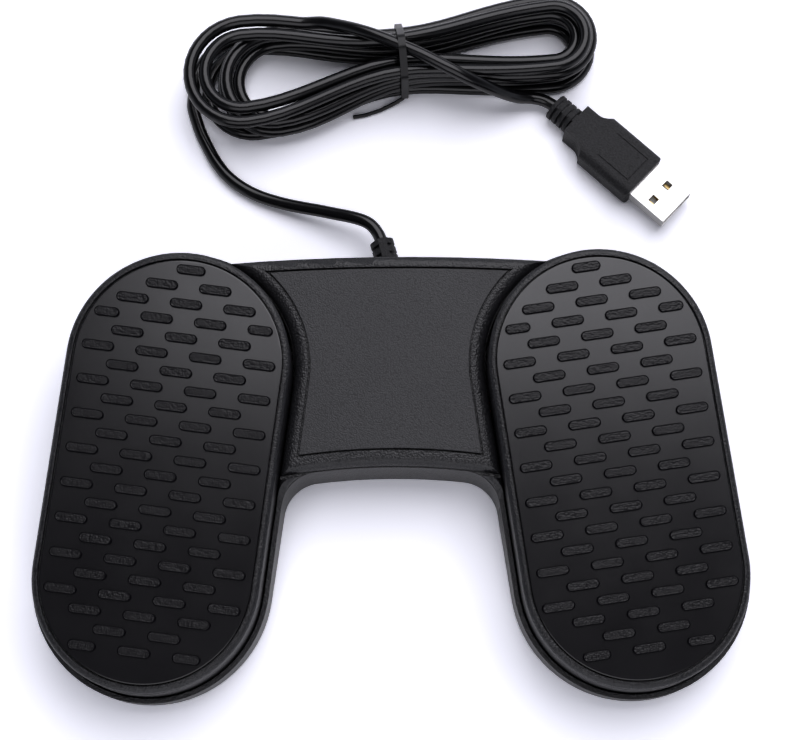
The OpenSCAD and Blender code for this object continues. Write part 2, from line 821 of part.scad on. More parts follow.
// Base housing
module pod_wall() {
    intersection() {
        translate([0, 0, plate_top])
            linear_extrude(40)
                difference() {
                    stadium(base_out_r, pod_pitch);
                    stadium(base_in_r, pod_pitch);
                }
        below(lip_height);
    }
}
module screw_tab(p) {
    side = p.y < 0 ? -90 : p.y > pod_pitch ? (p.x > 0 ? 50 : 130) : (p.x > 0 ? 0 : 180);
    translate([p.x, p.y, plate_top])
        difference() {
            union() {
                cylinder(h = boss_h, r = boss_r);
                rotate([0, 0, side])
                    translate([0, -boss_r, 0])
                        cube([base_in_r - screw_ring + base_wall / 2, boss_d, 2]);
            }
            translate([0, 0, -1])
                cylinder(h = boss_h, r = screw_r + hole_fit);
        }
}
module bridge_shell() {
    difference() {
        intersection() {
            translate([0, 0, plate_top])
                linear_extrude(40)
                    difference() {
                        bridge2d(0);
                        pods2d(base_in_r);
                    }
            bridge_below(0);
        }
        intersection() {
            translate([0, 0, plate_top - 1])
                linear_extrude(40)
                    difference() {
                        bridge2d(bridge_wall);
                        pods2d(base_out_r);
                    }
            bridge_below(-roof_n);
        }
        bridge_rolls();
        bridge_tilt(-panel_t - 0.1)
            linear_extrude(10)
                panel2d(0);
        translate([cord_x, rear_y + 1, cord_exit_z])
            rotate([90, 0, 0])
                cylinder(h = bridge_wall + 2, r = relief_neck + hole_fit);
    }
    intersection() {
        for (p = bridge_screws)
            translate([p.x, p.y, plate_top])
                difference() {
                    cylinder(h = 40, r = boss_r);
                    translate([0, 0, -1])
                        cylinder(h = boss_h, r = screw_r + hole_fit);
                }
        bridge_below(-roof_n + bridge_wall / 2);
    }
}
module base_housing() {
    color("#1f2022") {
        difference() {
            union() {
                both_pods()
                    pod_wall();
                bridge_shell();
            }
            both_pods()
                translate([-base_out_r - 2, wire_hole_y - 2.2, plate_top - 1])
                    cube([5, 4.4, 4]);
        }
        both_pods()
            for (p = pod_screws)
                screw_tab(p);
    }
}
module bridge_panel() {
    color("#232426")
        bridge_tilt(-panel_t - 0.1)
            linear_extrude(panel_t)
                panel2d(panel_groove);
}

// Bottom plate with the ears, posts and brackets that stand on it
module ear() {
    translate([ear_x, -hinge_back, hinge_z])
        rotate([90, 0, 90])
            linear_extrude(ear_w)
                difference() {
                    union() {
                        circle(knuckle_r);
                        translate([-knuckle_r, plate_top - hinge_z - 0.5])
                            square([2 * knuckle_r, hinge_z - plate_top + 0.5]);
                    }
                    circle(pin_r + hole_fit);
                }
}
module pod_plate_parts() {
    for (s = [0, 1])
        mirror([s, 0, 0])
            ear();
    translate([0, spring_y, plate_top - 0.5])
        cylinder(h = 4, r = nub_r);
    difference() {
        translate([switch_w / 2, switch_y - switch_l / 2 - 1, plate_top - 0.5])
            cube([3, switch_l + 2, switch_top - plate_top - 0.5]);
        for (s = [-1, 1])
            translate([0, switch_y + s * switch_hole_pitch / 2, switch_hole_z])
                rotate([0, 90, 0])
                    cylinder(h = switch_w / 2 + 2.6, r = screw_r + hole_fit);
    }
    translate([-catch_w / 2, catch_y + 4.6, plate_top - 0.5])
        cube([catch_w, 2.5, catch_top - plate_top + 0.5]);
    translate([-catch_w / 2, catch_y, catch_top - catch_t])
        cube([catch_w, 7.1, catch_t]);
}
module plate_holes(p) {
    translate([p.x, p.y, 0]) {
        cylinder(h = 10, r = screw_r + hole_fit);
        cylinder(h = foot_h + head_sink + screw_head_h, r = head_r + hole_fit);
    }
}
module foot_hole(p) {
    translate([p.x, p.y, 0])
        cylinder(h = foot_h + foot_sink, r = foot_d / 2 + hole_fit);
}
module board_posts(r, z, h) {
    for (x = [-1, 1], y = [-1, 1])
        translate([x * post_x, board_y + y * post_y, z])
            cylinder(h = h, r = r, $fn = 36);
}
module clamp_saddle() {
    difference() {
        union() {
            translate([cord_x - 3, clamp_y - clamp_l / 2, plate_top - 0.5])
                cube([6, clamp_l, cord_exit_z - plate_top + 0.5]);
            for (s = [-1, 1])
                translate([cord_x + s * clamp_x, clamp_y, plate_top - 0.5])
                    cylinder(h = cord_exit_z - plate_top + 0.5, r = 2.4, $fn = 36);
        }
        translate([cord_x, clamp_y + 5, cord_exit_z])
            rotate([90, 0, 0])
                cylinder(h = 10, r = cord_r + hole_fit);
        for (s = [-1, 1])
            translate([cord_x + s * clamp_x, clamp_y, plate_top])
                cylinder(h = 10, r = screw_r + hole_fit, $fn = 36);
    }
}
module bottom_plate() {
    color("#26272a") {
        difference() {
            union() {
                translate([0, 0, foot_h])
                    linear_extrude(plate_t) {
                        pods2d(base_out_r - plate_inset);
                        bridge2d(plate_inset);
                    }
                both_pods()
                    pod_plate_parts();
                board_posts(post_r, plate_top - 0.5, board_lift + 0.5);
                clamp_saddle();
            }
            both_pods() {
                for (p = pod_screws)
                    plate_holes(p);
                for (p = pod_feet)
                    foot_hole(p);
                for (s = [-1, 1])
                    translate([s * bumper_x, stop_y, plate_top + 0.8 - plate_t])
                        cylinder(h = plate_t, r = 1.5 + hole_fit);
            }
            for (p = bridge_screws)
                plate_holes(p);
            for (p = bridge_feet)
                foot_hole(p);
            board_posts(screw_r + hole_fit, plate_top + 0.2, 10);
        }
    }
}
module bottom_screws() {
    color("#b9bcc0") {
        both_pods()
            for (p = pod_screws)
                bottom_screw(p);
        for (p = bridge_screws)
            bottom_screw(p);
    }
}
module bottom_screw(p) {
    translate([p.x, p.y, foot_h + head_sink + screw_head_h])
        screw(screw_len + plate_t - head_sink - screw_head_h - 0.3);
}
module rubber_feet() {
    color("#151515") {
        both_pods()
            for (p = pod_feet)
                foot(p);
        for (p = bridge_feet)
            foot(p);
    }
}
module foot(p) {
    translate([p.x, p.y, 0])
        rotate_extrude()
            difference() {
                square([foot_d / 2, foot_h + foot_sink]);
                translate([foot_d / 2 - 0.6, 0.6])
                    difference() {
                        translate([0, -1.6])
                            square([1.6, 1.6]);
                        circle(0.6, $fn = 24);
                    }
            }
}

// Left and right pieces
module left_pedal() {
    color("#232426")
        left_pod()
            pedal();
}
module right_pedal() {
    color("#232426")
        right_pod()
            pedal();
}
module left_pad() {
    color("#17181a")
        left_pod()
            pad();
}
module right_pad() {
    color("#17181a")
        right_pod()
            pad();
}
module left_hinge_pin() {
    color("#b9bcc0")
        left_pod()
            hinge_pin();
}
module right_hinge_pin() {
    color("#b9bcc0")
        right_pod()
            hinge_pin();
}
module left_return_spring() {
    color("#b9bcc0")
        left_pod()
            return_spring();
}
module right_return_spring() {
    color("#b9bcc0")
        right_pod()
            return_spring();
}
module left_bumpers() {
    color("#151515")
        left_pod()
            bumpers();
}
module right_bumpers() {
    color("#151515")
        right_pod()
            bumpers();
}
module left_switch_body() {
    color("#2b2c30")
        left_pod()
            switch_body();
}
module right_switch_body() {
    color("#2b2c30")
        right_pod()
            switch_body();
}
module left_switch_button() {
    color("#a02020")
        left_pod()
            switch_button();
}
module right_switch_button() {
    color("#a02020")
        right_pod()
            switch_button();
}
module left_switch_leads() {
    color("#8a1f1f")
        mirror([1, 0, 0])
            leads();
}
module right_switch_leads() {
    color("#8a1f1f")
        leads();
}

// Electronics
module switch_terminals() {
    color("#c9a24a")
        both_pods()
            terminals();
}
module switch_screws() {
    color("#b9bcc0")
        both_pods()
            switch_screw_pair();
}
module circuit_board() {
    color("#1d5a34")
        difference() {
            translate([-board_w / 2, board_y - board_l / 2, board_z])
                cube([board_w, board_l, board_t]);
            board_posts(screw_r + hole_fit, board_z - 1, board_t + 2);
        }
}
module controller_chip() {
    color("#18191b") {
        translate([-chip_w / 2, board_y - 4 - chip_w / 2, board_top + 0.2])
            cube([chip_w, chip_w, 1.2]);
        for (s = [-1, 1], i = [-3 : 3])
            translate([s * chip_w / 2 - 0.5, board_y - 4 + i - 0.2, board_top])
                cube([1, 0.4, 0.6]);
    }
}
module connector_box(w, l) {
    difference() {
        translate([-w / 2, -l / 2, 0])
            cube([w, l, connector.z]);
        translate([-w / 2 + 0.6, -l / 2 + 0.6, connector.z - 1.5])
            cube([w - 1.2, l - 1.2, 2]);
    }
}
module board_connectors() {
    color("#d8d6cc") {
        for (s = [-1, 1])
            translate([s * connector_x, connector_y, board_top])
                connector_box(connector.x, connector.y);
        translate([cord_x, board_y + 8.5, board_top])
            connector_box(connector.y, connector.x);
    }
}
module board_screws() {
    color("#b9bcc0")
        for (x = [-1, 1], y = [-1, 1])
            translate([x * post_x, board_y + y * post_y, board_top])
                rotate([180, 0, 0])
                    screw(board_t + board_lift - 0.5);
}
module cable_clamp() {
    color("#26272a")
        difference() {
            translate([cord_x - clamp_x - 2.6, clamp_y - clamp_l / 2, cord_exit_z])
                cube([2 * clamp_x + 5.2, clamp_l, 3.4]);
            translate([cord_x, clamp_y + 5, cord_exit_z])
                rotate([90, 0, 0])
                    cylinder(h = 10, r = cord_r + hole_fit);
            for (s = [-1, 1])
                translate([cord_x + s * clamp_x, clamp_y, cord_exit_z - 1])
                    cylinder(h = 10, r = screw_r + hole_fit, $fn = 36);
        }
}
module clamp_screws() {
    color("#b9bcc0")
        for (s = [-1, 1])
            translate([cord_x + s * clamp_x, clamp_y, cord_exit_z + 3.4])
                rotate([180, 0, 0])
                    screw(7);
}
module inner_cable() {
    color("#17181a") {
        translate([cord_x, flange_y - flange_t, cord_exit_z])
            rotate([90, 0, 0])
                cylinder(h = flange_y - flange_t - cable_end, r = cord_r);
        for (i = [0 : 3]) {
            x = (i - 1.5) * 1.2;
            z = i % 2 == 0 ? 0.6 : -0.5;
            tube([
                [cord_x + x / 2, cable_end + 1, cord_exit_z + z],
                [cord_x + x / 2, cable_end - 0.3, cord_exit_z + z],
                [cord_x + x, cable_end - 1.4, board_top + 1.4],
                [cord_x + x, board_y + 10 + connector.x / 2, board_top + 2.2],
                [cord_x + x, board_y + 8.5 + connector.x / 2, board_top + 2.2]
            ], 0.45, 6, [0, -1, 0], [0, -1, 0]);
        }
    }
}

// Cord and plug
module cable_strain_relief() {
    r = relief_d / 2;
    pitch = (relief_l - 1.9) / relief_ribs;
    color("#151617")
        translate([cord_x, rear_y, cord_exit_z]) {
            rotate([-90, 0, 0]) {
                translate([0, 0, -bridge_wall - hole_fit - 0.5])
                    cylinder(h = bridge_wall + hole_fit + 1, r = relief_neck);
                translate([0, 0, -bridge_wall - hole_fit - flange_t])
                    cylinder(h = flange_t, r = r);
                cylinder(h = 2, r = r);
            }
            rotate([-90, 0, relief_lean]) {
                translate([0, 0, 0.6])
                    cylinder(h = relief_l - 0.6, r = cord_r + 0.45);
                for (i = [0 : relief_ribs - 1])
                    translate([0, 0, 2.2 + i * pitch])
                        cylinder(h = pitch * 0.62, r = r - 0.2);
                translate([-1.1, -r + 0.08, 1.2])
                    cube([2.2, 2 * r - 0.16, relief_l - 1.7]);
            }
        }
}
module cable_lead() {
    color("#17181a")
        tube(lead_path, cord_r, 8, relief_dir, hank_in_dir);
}
module cable_hank() {
    color("#17181a")
        tube(hank_path, cord_r, 6, hank_in_dir, hank_out_dir);
}
module cable_tail() {
    color("#17181a")
        tube(tail_path, cord_r, 8, hank_out_dir, plug_dir);
}
module tie_outline(grow) {
    hull()
        for (p = tie_marks)
            translate([(p.y - hank_c.y) * cos(hank_turn) - (p.x - hank_c.x) * sin(hank_turn), p.z])
                circle(cord_r + grow, $fn = 24);
}
module cable_tie() {
    loose = [for (p = tie_tail) behind(p)];
    color("#17181a") {
        translate([hank_c.x, hank_c.y, 0])
            rotate([0, 0, hank_turn])
                translate([tie_x - tie_w / 2, 0, 0])
                    rotate([90, 0, 90])
                        linear_extrude(tie_w)
                            difference() {
                                tie_outline(0.3 + tie_t);
                                tie_outline(0.3);
                            }
        tube(loose, 0.6, 6, unit(loose[1] - loose[0]), unit(loose[4] - loose[3]));
    }
}
module grip2d() {
    flare = (grip_w - neck_w) / 2;
    translate([plug_tail_l, -neck_w / 2])
        square([shoulder_x - plug_tail_l + 1, neck_w]);
    translate([shoulder_x, -grip_w / 2])
        square([front_x - shoulder_x - 1.5, grip_w]);
    translate([front_x - 2, 1.5 - grip_w / 2])
        square([2, grip_w - 3]);
    for (s = [-1, 1]) {
        translate([front_x - 1.5, s * (grip_w / 2 - 1.5)])
            circle(1.5, $fn = 36);
        difference() {
            translate([shoulder_x - 4, s > 0 ? 0 : -grip_w / 2])
                square([4.1, grip_w / 2]);
            translate([shoulder_x - 4, s * (neck_w / 2 + 4)])
                circle(4, $fn = 48);
            translate([shoulder_x - 8, s > 0 ? neck_w / 2 + 4 : -neck_w / 2 - 10])
                square([10, 6]);
        }
    }
}
module grip_section() {
    r = 2.4;
    translate([-grip_w, -grip_t / 2 + r])
        square([2 * grip_w, grip_t - 2 * r]);
    translate([-grip_w / 2 + r, -grip_t / 2])
        square([grip_w - 2 * r, grip_t]);
    for (x = [-1, 1], z = [-1, 1])
        translate([x * (grip_w / 2 - r), z * (grip_t / 2 - r)])
            circle(r, $fn = 48);
}
module plug_grip() {
    rib = plug_tail_l / 4;
    color("#151617")
        plug_frame() {
            difference() {
                intersection() {
                    translate([0, 0, -grip_t / 2])
                        linear_extrude(grip_t)
                            grip2d();
                    rotate([90, 0, 90])
                        linear_extrude(60)
                            grip_section();
                }
                translate([front_x - shell_in, -shell_w / 2 - hole_fit, -shell_h / 2 - hole_fit])
                    cube([20, shell_w + 2 * hole_fit, shell_h + 2 * hole_fit]);
                translate([shoulder_x + 3.5, -4.4, grip_t / 2 - 0.25])
                    difference() {
                        cube([11.5, 8.8, 1]);
                        translate([-1, 0.4, -1])
                            cube([12.1, 8, 3]);
                    }
            }
            rotate([0, 90, 0]) {
                cylinder(h = plug_tail_l + 1, r = cord_r + 0.7);
                for (i = [0 : 3])
                    translate([0, 0, i * rib])
                        cylinder(h = rib * 0.62, r = 3.9);
            }
            translate([0.5, -1.2, -3.4])
                cube([plug_tail_l, 2.4, 6.8]);
        }
}
module plug_shell() {
    inner_w = shell_w - 2 * shell_t;
    inner_h = shell_h - 2 * shell_t;
    color("#c6c9cc")
        plug_frame()
            translate([front_x - shell_in, 0, 0])
                difference() {
                    translate([0, -shell_w / 2, -shell_h / 2])
                        cube([shell_in + shell_l, shell_w, shell_h]);
                    translate([-1, -inner_w / 2, -inner_h / 2])
                        cube([shell_in + shell_l + 2, inner_w, inner_h]);
                    for (s = [-1, 1])
                        translate([shell_in + 5, s * 2.9 - 1.1, -shell_h])
                            cube([2.1, 2.2, 2 * shell_h]);
                }
}
module plug_insulator() {
    inner_w = shell_w - 2 * shell_t - 2 * hole_fit;
    inner_h = shell_h - 2 * shell_t;
    color("#e6e4de")
        plug_frame()
            translate([front_x - shell_in, -inner_w / 2, -inner_h / 2]) {
                cube([shell_in + shell_l - 0.6, inner_w, tongue_t]);
                cube([shell_in - 1, inner_w, inner_h - hole_fit]);
            }
}
module plug_contacts() {
    color("#c9a24a")
        plug_frame()
            for (y = [-3.5, -1, 1, 3.5])
                translate([front_x - 1, y - 0.5, -shell_h / 2 + shell_t + tongue_t])
                    cube([(abs(y) > 2 ? 9.2 : 8.2) + 1, 1, 0.25]);
}

base_housing();
bottom_plate();
bridge_panel();
bottom_screws();
rubber_feet();
left_pedal();
right_pedal();
left_pad();
right_pad();
left_hinge_pin();
right_hinge_pin();
left_return_spring();
right_return_spring();
left_bumpers();
right_bumpers();
left_switch_body();
right_switch_body();
left_switch_button();
right_switch_button();
switch_terminals();
switch_screws();
circuit_board();
controller_chip();
board_connectors();
board_screws();
left_switch_leads();
right_switch_leads();
cable_clamp();
clamp_screws();
inner_cable();
cable_strain_relief();
cable_lead();
cable_hank();
cable_tail();
cable_tie();
plug_grip();
plug_shell();
plug_insulator();
plug_contacts();
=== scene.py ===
"""Twin foot pedal switch with a hanked cord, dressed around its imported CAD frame. Metres."""

import math

import bpy
from mathutils import Matrix, Vector


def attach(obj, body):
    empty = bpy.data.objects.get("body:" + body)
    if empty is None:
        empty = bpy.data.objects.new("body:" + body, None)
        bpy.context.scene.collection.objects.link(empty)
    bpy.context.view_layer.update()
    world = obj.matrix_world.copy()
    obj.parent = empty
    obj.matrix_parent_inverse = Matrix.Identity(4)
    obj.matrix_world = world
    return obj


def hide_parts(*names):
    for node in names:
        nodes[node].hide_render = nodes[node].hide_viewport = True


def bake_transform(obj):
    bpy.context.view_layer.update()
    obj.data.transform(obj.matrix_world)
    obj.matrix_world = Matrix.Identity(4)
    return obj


MM = 0.001

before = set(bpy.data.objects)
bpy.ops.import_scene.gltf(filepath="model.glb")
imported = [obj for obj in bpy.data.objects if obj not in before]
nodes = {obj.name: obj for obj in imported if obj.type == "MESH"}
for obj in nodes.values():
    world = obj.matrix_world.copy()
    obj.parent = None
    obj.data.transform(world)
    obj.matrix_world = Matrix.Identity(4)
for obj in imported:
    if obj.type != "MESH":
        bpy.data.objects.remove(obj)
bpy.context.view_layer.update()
scene = bpy.context.scene

# Sides of the object, with the sign of their X
SIDES = {"left": -1, "right": 1}

# Camera, solved from the photograph
PHOTO_W = 800
FOCAL_PX = 1700.0
SENSOR_MM = 36.0
CLIP_START = 10 * MM
LOOK_AT = Vector((2.718, 32.19, 0.0)) * MM
DISTANCE = 465.56 * MM
ELEVATION = math.radians(75.181)
ROLL = math.radians(-0.502)

# Cord, repeated from the part's source in millimetres
CORD_D = 3.5
CORD_R = CORD_D / 2
FLOOR_GAP = 0.05
REAR_Y = 55.832
RELIEF_FOOT = Vector((0.8, REAR_Y, 8.0))
RELIEF_LENGTH = 11.5
RELIEF_LEAN = math.radians(15)
PLUG_ROOT = Vector((47.2, REAR_Y + 51.9, 4.2))

# Hank: half length, radii of its lobes, half width at its waist, distances between loops and layers
HANK_HALF = 58.4
HANK_LEFT_R = 17.3
HANK_RIGHT_R = 13.4
HANK_WAIST = 9.2
HANK_STEP = 4.2
HANK_LAYER = 3.95

# Hank: its angle to the X axis, centre and number of turns
HANK_ANGLE = math.radians(5.5)
HANK_CENTRE = (1.6, REAR_Y + 64)
HANK_TURNS = 6 + 1 / 6

# Hank: turn counts at which the loops climb a layer and step the other way, inwards or outwards
HANK_FOLDS = (1.75, 3.25, 4.75)

# Hank: rise at the waist and its reach along X
HANK_LIFT = 1.2
HANK_LIFT_REACH = 14.0

# Hank: what each layer is longer by, what it is moved by along and across, and the wave of the move across
HANK_LONGER = (-0.5, -4, -3.5, 0.4)
HANK_MOVED = ((0.5, 1.5), (4, 2), (3.5, 2), (-0.4, 1.4))
HANK_MOVE_WAVE = math.radians(1.5)

# Cord between the strain relief and the hank, and between the hank and the plug, from the bridge's rear wall
LEAD = [
    (-3.2, 13.4, 8), (-4.9, 15.6, 7.9), (-7.2, 17.1, 7.6), (-10.8, 18.5, 6.8), (-15, 19.8, 5.7),
    (-20, 21.3, 4.6), (-25.6, 22.8, 3.5), (-31, 24.5, 2.6), (-36.4, 26.6, 2), (-41.2, 29.3, 1.8),
    (-45.4, 32.8, 1.8), (-48.6, 37, 1.8), (-51, 41.4, 1.8), (-52.9, 45.4, 1.8), (-54.3, 49.4, 1.8),
]
TAIL = [
    (-18.4, 73.3, 14.7), (-13.7, 71.7, 16.2), (-9, 69.7, 17.9), (-4.8, 67.9, 18.8), (-0.6, 66.1, 19.1),
    (4, 64, 19.1), (8.9, 61.7, 19.1), (13.1, 59.5, 18.8), (17.8, 57.2, 18), (22.6, 55.4, 16),
    (27.6, 54.3, 13), (32.4, 53.8, 9.4), (36.4, 53.9, 6.4), (40.4, 54.4, 4.7), (44.1, 53.8, 4.2),
]

# Fineness of the cord: samples in a turn of the hank, steps between two points, that of its round section
SAMPLES_PER_TURN = 72
CURVE_STEPS = 8
SECTION_FINENESS = 5

# Stretch inside the strain relief that gives the lead its direction there
LEAD_IN = 0.7 * CORD_D

# Floor: half its side, its own colour, that which the camera sees, and where it fades to white
FLOOR_HALF = 3.0
FLOOR_COLOR = (0.92, 0.92, 0.94, 1)
FLOOR_SEEN = (1.5, 1.51, 1.59, 1)
FLOOR_FADE = (0.3, 0.6)

# Surround: what the camera sees, colours low down and overhead, and the heights between which they change
SKY_SEEN = (1, 1, 1, 1)
SKY_LOW = (0.5, 0.52, 0.6)
SKY_HIGH = (0.05, 0.05, 0.055)
SKY_CHANGE = (0.15, 0.6)

# Lamps: name, place, size and power
LAMPS = (
    ("softbox", (0.24, 0.485, 0.9), 1.0, 9.8),
    ("fill", (-0.05, -0.75, 0.62), 0.9, 3.6),
)
LAMP_TINT = (0.95, 0.94, 1.0)

# Edges: angle over which they are rounded, steps of a rounding, angle under which they are shaded smooth
SHARP_ANGLE = math.radians(35)
ROUND_STEPS = 2
SMOOTH_ANGLE = math.radians(32)

# Meshes: distance under which points merge, angle under which faces are one flat, weight of large faces
WELD_GAP = 0.005 * MM
FLAT_ANGLE = math.radians(0.4)
FACE_WEIGHT = 80

# Pads: the plane of their tops, as the front cap centre in millimetres, splay and tilt in the part's source
POD = (61.75, -27.232, 23.85)
SPLAY = math.radians(8)
TILT = math.radians(7)

# Grip bars: heights in millimetres at which a bar's foot and its grained top begin, and their rounding
BAR_FOOT = (0.01, 0.05)
BAR_TOP = (0.66, 0.695)
BAR_EDGE = 0.4 * MM

# Pad rubber: colour, shine and roughness of the pad and its bars, and the shine of the bars' sides, kept
# near zero as painted shade that outlines each bar
PAD_COLOR = (0.0035, 0.0032, 0.0042)
PAD_SHINE = 0.6
PAD_ROUGHNESS = (0.18, 0.27)
BAR_COLOR = (0.0045, 0.0042, 0.005)
BAR_SHINE = 0.28
BAR_ROUGHNESS = 0.27
PAINTED_SHADE_SIDE_SHINE = 0.02

# Pad rubber: size, depth and strength of the bars' grain and of the fine grain all over
BAR_GRAIN = 0.5 * MM
BAR_GRAIN_DEPTH = 0.13 * MM
BAR_GRAIN_STRENGTH = 0.9
PAD_GRAIN = 0.35 * MM
PAD_GRAIN_DEPTH = 0.01 * MM
PAD_GRAIN_STRENGTH = 0.3

# Moulded grain, as shares of the cells' own values: scale and reach of their warp, and the fine grain on top
WARP_SCALE = 0.35
WARP_REACH = 0.6
FINE_SCALE = 3.0
FINE_DEPTH = 0.3
FINE_STRENGTH = 0.5

# Broad patches in a metre, and how far the roughness wanders between them
GRAINED_PATCHES = 60.0
GRAINED_WANDER = 0.06
SPECKLED_PATCHES = 45.0
SPECKLED_WANDER = 0.05
PAD_PATCHES = 70.0

# Spots on metal: their tone beside the rest, the range of roughness about the middle, depth and strength
SPOT_TONE = 0.86
SPOT_WANDER = (-0.08, 0.1)
SPOT_DEPTH = 0.01 * MM
SPOT_STRENGTH = 0.15


def add_camera():
    """Camera at the photograph's angle."""
    back = Vector((0, -math.cos(ELEVATION), math.sin(ELEVATION)))
    right = Vector((1, 0, 0))
    up = back.cross(right)
    rolled_right = math.cos(ROLL) * right + math.sin(ROLL) * up
    rolled_up = math.cos(ROLL) * up - math.sin(ROLL) * right
    data = bpy.data.cameras.new("camera")
    data.sensor_fit = "HORIZONTAL"
    data.sensor_width = SENSOR_MM
    data.lens = FOCAL_PX / PHOTO_W * SENSOR_MM
    data.clip_start = CLIP_START
    camera = bpy.data.objects.new("camera", data)
    place = Matrix((rolled_right, rolled_up, back)).transposed().to_4x4()
    place.translation = LOOK_AT + DISTANCE * back
    camera.matrix_world = place
    scene.collection.objects.link(camera)
    scene.camera = camera


def smooth(x):
    """A step from 0 to 1 that starts and ends gently."""
    k = min(1.0, max(0.0, x))
    return k * k * (3 - 2 * k)


def hank_inset(t):
    """How many steps a loop lies inside the outer one after t turns."""
    inset, last_fold, way = 0.0, 0.0, 1
    for fold in HANK_FOLDS:
        if t < fold:
            break
        inset += way * (fold - last_fold)
        last_fold, way = fold, -way
    return inset + way * (t - last_fold)


def hank_level(t):
    """Layer of the hank after t turns. Each climb takes a quarter of a turn about its fold."""
    return sum(smooth(4 * (t - fold) + 0.5) for fold in HANK_FOLDS)


def hank_run(along, inset):
    """Half width of the hank along a run, from the left end (0) to the right end (1)."""
    lobe = HANK_LEFT_R + (HANK_RIGHT_R - HANK_LEFT_R) * smooth(along)
    return lobe - (lobe - HANK_WAIST) * math.sin(math.pi * along) ** 2 - inset


def by_level(values, level):
    """Value between those of two layers of the hank."""
    k = min(len(values) - 2, math.floor(level))
    return values[k] + (values[k + 1] - values[k]) * (level - k)


def hank_point(t):
    """Centre of the cord after t turns of the hank.

    A turn starts in the middle of the left lobe, and each lobe and each run takes a quarter of it.
    """
    quarters = 4 * (t - math.floor(t))
    inset = HANK_STEP * hank_inset(t)
    level = hank_level(t)
    half = HANK_HALF + by_level(HANK_LONGER, level)
    left, right = HANK_LEFT_R - half, half - HANK_RIGHT_R
    if quarters < 0.5 or quarters >= 3.5:
        angle = math.pi - math.pi * (quarters if quarters < 2 else quarters - 4)
        x = left + (HANK_LEFT_R - inset) * math.cos(angle)
        y = (HANK_LEFT_R - inset) * math.sin(angle)
    elif 1.5 <= quarters < 2.5:
        angle = math.pi / 2 - math.pi * (quarters - 1.5)
        x = right + (HANK_RIGHT_R - inset) * math.cos(angle)
        y = (HANK_RIGHT_R - inset) * math.sin(angle)
    else:
        side = 1 if quarters < 2 else -1
        along = quarters - 0.5 if quarters < 2 else 3.5 - quarters
        x = left + (right - left) * along
        y = side * hank_run(along, inset)
    x += by_level([move[0] for move in HANK_MOVED], level)
    y += by_level([move[1] for move in HANK_MOVED], level) * math.sin(HANK_MOVE_WAVE * x)
    z = CORD_R + FLOOR_GAP + HANK_LAYER * level + HANK_LIFT * math.exp(-x * x / HANK_LIFT_REACH ** 2)
    c, s = math.cos(HANK_ANGLE), math.sin(HANK_ANGLE)
    return Vector((HANK_CENTRE[0] + x * c - y * s, HANK_CENTRE[1] + x * s + y * c, z))


def through(points):
    """Points of a smooth curve through a list of points, without the last one."""
    out = []
    for i in range(len(points) - 1):
        p0 = points[max(i - 1, 0)]
        p1, p2 = points[i], points[i + 1]
        p3 = points[min(i + 2, len(points) - 1)]
        for k in range(CURVE_STEPS):
            t = k / CURVE_STEPS
            out.append(0.5 * (2 * p1 + (p2 - p0) * t + (2 * p0 - 5 * p1 + 4 * p2 - p3) * t * t
                              + (3 * p1 - p0 - 3 * p2 + p3) * t ** 3))
    return out


def behind(point):
    """A point that is measured from the rear wall of the bridge."""
    return Vector(point) + Vector((0, REAR_Y, 0))


def cord_route():
    """Lead, hank and tail as one line, in metres."""
    hank = [hank_point(i / SAMPLES_PER_TURN) for i in range(round(HANK_TURNS * SAMPLES_PER_TURN) + 1)]
    start_dir = (hank[1] - hank[0]).normalized()
    end_dir = (hank[-1] - hank[-2]).normalized()
    relief_dir = Vector((-math.sin(RELIEF_LEAN), math.cos(RELIEF_LEAN), 0))
    relief_end = RELIEF_FOOT + RELIEF_LENGTH * relief_dir
    lead = [relief_end - LEAD_IN * relief_dir, relief_end] + [behind(p) for p in LEAD]
    lead = through(lead + [hank[0] - CORD_D * start_dir, hank[0]])[CURVE_STEPS:]
    tail = through([hank[-1], hank[-1] + CORD_D * end_dir] + [behind(p) for p in TAIL] + [PLUG_ROOT])
    return [p * MM for p in lead + hank + tail[1:] + [PLUG_ROOT]]


def tube_curve(name, points, radius, material):
    """A round tube along a line of points."""
    data = bpy.data.curves.new(name, "CURVE")
    data.dimensions = "3D"
    data.bevel_depth = radius
    data.bevel_resolution = SECTION_FINENESS
    data.use_fill_caps = True
    spline = data.splines.new("POLY")
    spline.points.add(len(points) - 1)
    for point, place in zip(spline.points, points):
        point.co = (*place, 1)
    data.materials.append(material)
    obj = bpy.data.objects.new(name, data)
    scene.collection.objects.link(obj)
    return obj


def shader(name, color, roughness, metallic=0.0, shine=0.5):
    """A new material with its node tree, its Principled shader and a position in metres."""
    material = bpy.data.materials.new(name)
    material.use_nodes = True
    tree = material.node_tree
    bsdf = tree.nodes["Principled BSDF"]
    bsdf.inputs["Base Color"].default_value = (*color, 1)
    bsdf.inputs["Roughness"].default_value = roughness
    bsdf.inputs["Metallic"].default_value = metallic
    bsdf.inputs["Specular IOR Level"].default_value = shine
    coords = tree.nodes.new("ShaderNodeTexCoord")
    return material, tree, bsdf, coords.outputs["Object"]


def texture(tree, kind, coords, scale, **values):
    """A texture node fed with a position."""
    node = tree.nodes.new(kind)
    node.inputs["Scale"].default_value = scale
    for key, value in values.items():
        if key in node.inputs:
            node.inputs[key].default_value = value
        else:
            setattr(node, key, value)
    tree.links.new(coords, node.inputs["Vector"])
    return node


def noise(tree, coords, scale, **values):
    """A noise between 0 and 1."""
    return texture(tree, "ShaderNodeTexNoise", coords, scale, **values).outputs["Fac"]


def cells(tree, coords, size, feature):
    """Distance from the middle of the nearest cell, for cells of a size in metres."""
    return texture(tree, "ShaderNodeTexVoronoi", coords, 1 / size, feature=feature).outputs["Distance"]


